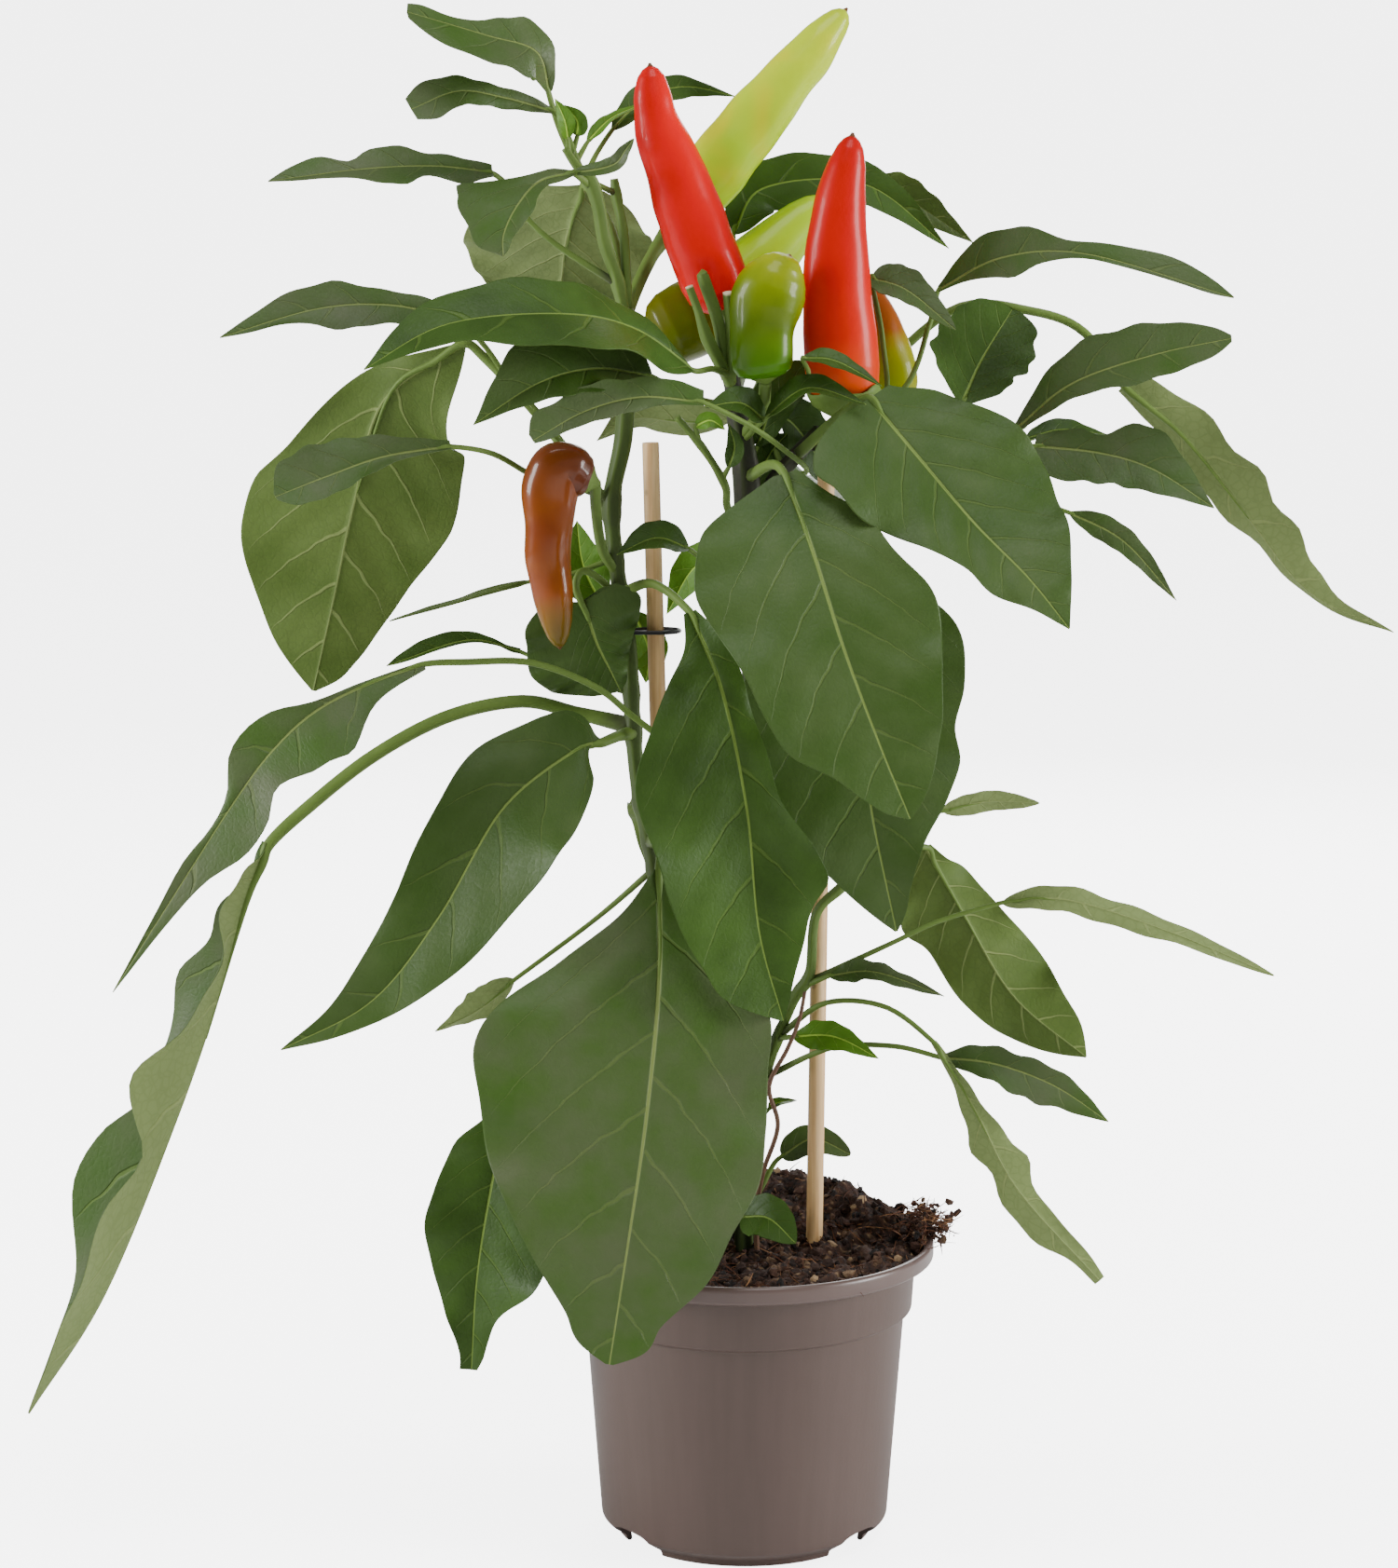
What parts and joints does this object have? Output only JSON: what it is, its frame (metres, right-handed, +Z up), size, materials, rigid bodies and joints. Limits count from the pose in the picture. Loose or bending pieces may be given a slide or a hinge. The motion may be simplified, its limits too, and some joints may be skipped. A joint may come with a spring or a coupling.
{
  "type": "potted chilli pepper plant",
  "caption": "Leafy chilli pepper plant with upright and hanging pods, tied to bamboo stakes in a round plastic nursery pot of peat.",
  "frame": {"origin": "on the pot's axis, on the plane that its foot ring and the flat underside of its floor stand on", "axes": "+Z up, +X to the plant's right and +Y away from the viewer, seen from the pictured side"},
  "size_m": [0.47, 0.204, 0.5209],
  "materials": {
    "pot_plastic": "thin taupe polypropylene, satin, glossier at the lip",
    "peat": "moist dark peat with fibres and crumbs",
    "bamboo": "bare round bamboo cane",
    "tie_plastic": "black plastic-coated wire",
    "foliage": "fresh green leaves and stems with a soft sheen, grey-green undersides and pale veins",
    "dry_stalk": "dried brown strand",
    "pod_red": "waxy glossy ripe skin, orange towards the calyx",
    "pod_lime": "waxy glossy yellow-green skin",
    "pod_olive": "waxy glossy olive to yellow-green skin",
    "pod_green": "waxy glossy unripe green skin",
    "pod_orange": "waxy glossy skin turning from green to orange",
    "pod_brown": "waxy glossy brown-orange skin with a yellow-green tip"
  },
  "bodies": {
    "root": {"pot": "pot_plastic", "soil": "peat", "stake_left": "bamboo", "stake_right": "bamboo", "wire_tie": "tie_plastic", "stem_left": "foliage", "stem_centre": "foliage", "shoot_basal": "foliage", "strand_dry": "dry_stalk", "pod_red_left": "pod_red", "pod_red_right": "pod_red", "pod_lime_back": "pod_lime", "pod_olive_back": "pod_olive", "pod_green_stubby": "pod_green", "pod_orange_back": "pod_orange", "pod_brown": "pod_brown"}
  },
  "joints": []
}
